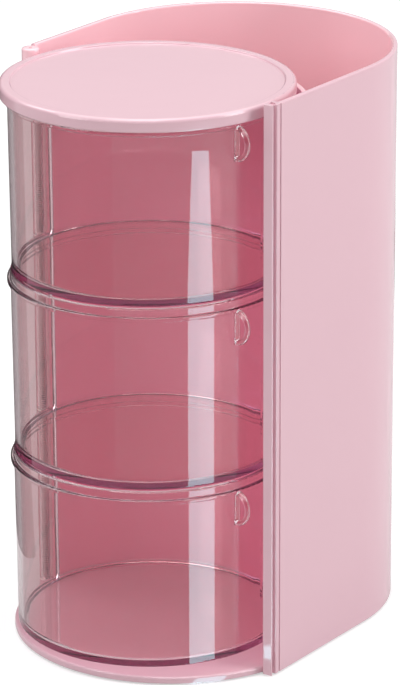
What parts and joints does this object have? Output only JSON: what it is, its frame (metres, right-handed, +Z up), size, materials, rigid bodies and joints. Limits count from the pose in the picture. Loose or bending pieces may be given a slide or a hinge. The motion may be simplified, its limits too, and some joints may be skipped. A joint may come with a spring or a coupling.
{
  "type": "rotating makeup organizer",
  "caption": "Tall half-round organizer with stacked clear round drawers and a lid that swing out on one vertical rod, and an open compartment behind them.",
  "frame": {"origin": "on the table, at the middle of the object's box", "axes": "+Z up, -Y to the front where the drawers are, +X to the right where the handles are"},
  "size_m": [0.156, 0.2169, 0.281],
  "materials": {
    "pink_abs": "glossy moulded pastel pink",
    "clear_styrene": "clear, polished, with a faint mauve tint at its edges",
    "rod_steel": "ground bright steel",
    "screw_steel": "zinc plated",
    "foot_rubber": "translucent pale rubber",
    "washer_nylon": "natural nylon"
  },
  "bodies": {
    "case": {"shell": "pink_abs", "base_plate": "pink_abs", "base_screws": "screw_steel", "pivot_rod": "rod_steel", "foot_front": "foot_rubber", "foot_left": "foot_rubber", "foot_right": "foot_rubber", "foot_rear_left": "foot_rubber", "foot_rear_right": "foot_rubber", "washer_base": "washer_nylon", "washer_lower": "washer_nylon", "washer_upper": "washer_nylon", "washer_lid": "washer_nylon", "washer_knuckle": "washer_nylon"},
    "lid": {"lid": "pink_abs"},
    "drawer_top": {"drawer_top": "clear_styrene", "handle_top": "clear_styrene"},
    "drawer_middle": {"drawer_middle": "clear_styrene", "handle_middle": "clear_styrene"},
    "drawer_bottom": {"drawer_bottom": "clear_styrene", "handle_bottom": "clear_styrene"}
  },
  "joints": [
    {"name": "lid_swing", "type": "hinge", "parent": "case", "child": "lid", "pos_m": [-0.0738, -0.03235, 0], "axis": [0, 0, -1], "range_deg": [0, 150]},
    {"name": "drawer_top_swing", "type": "hinge", "parent": "case", "child": "drawer_top", "pos_m": [-0.0738, -0.03235, 0], "axis": [0, 0, -1], "range_deg": [0, 150]},
    {"name": "drawer_middle_swing", "type": "hinge", "parent": "case", "child": "drawer_middle", "pos_m": [-0.0738, -0.03235, 0], "axis": [0, 0, -1], "range_deg": [0, 150]},
    {"name": "drawer_bottom_swing", "type": "hinge", "parent": "case", "child": "drawer_bottom", "pos_m": [-0.0738, -0.03235, 0], "axis": [0, 0, -1], "range_deg": [0, 150]}
  ]
}
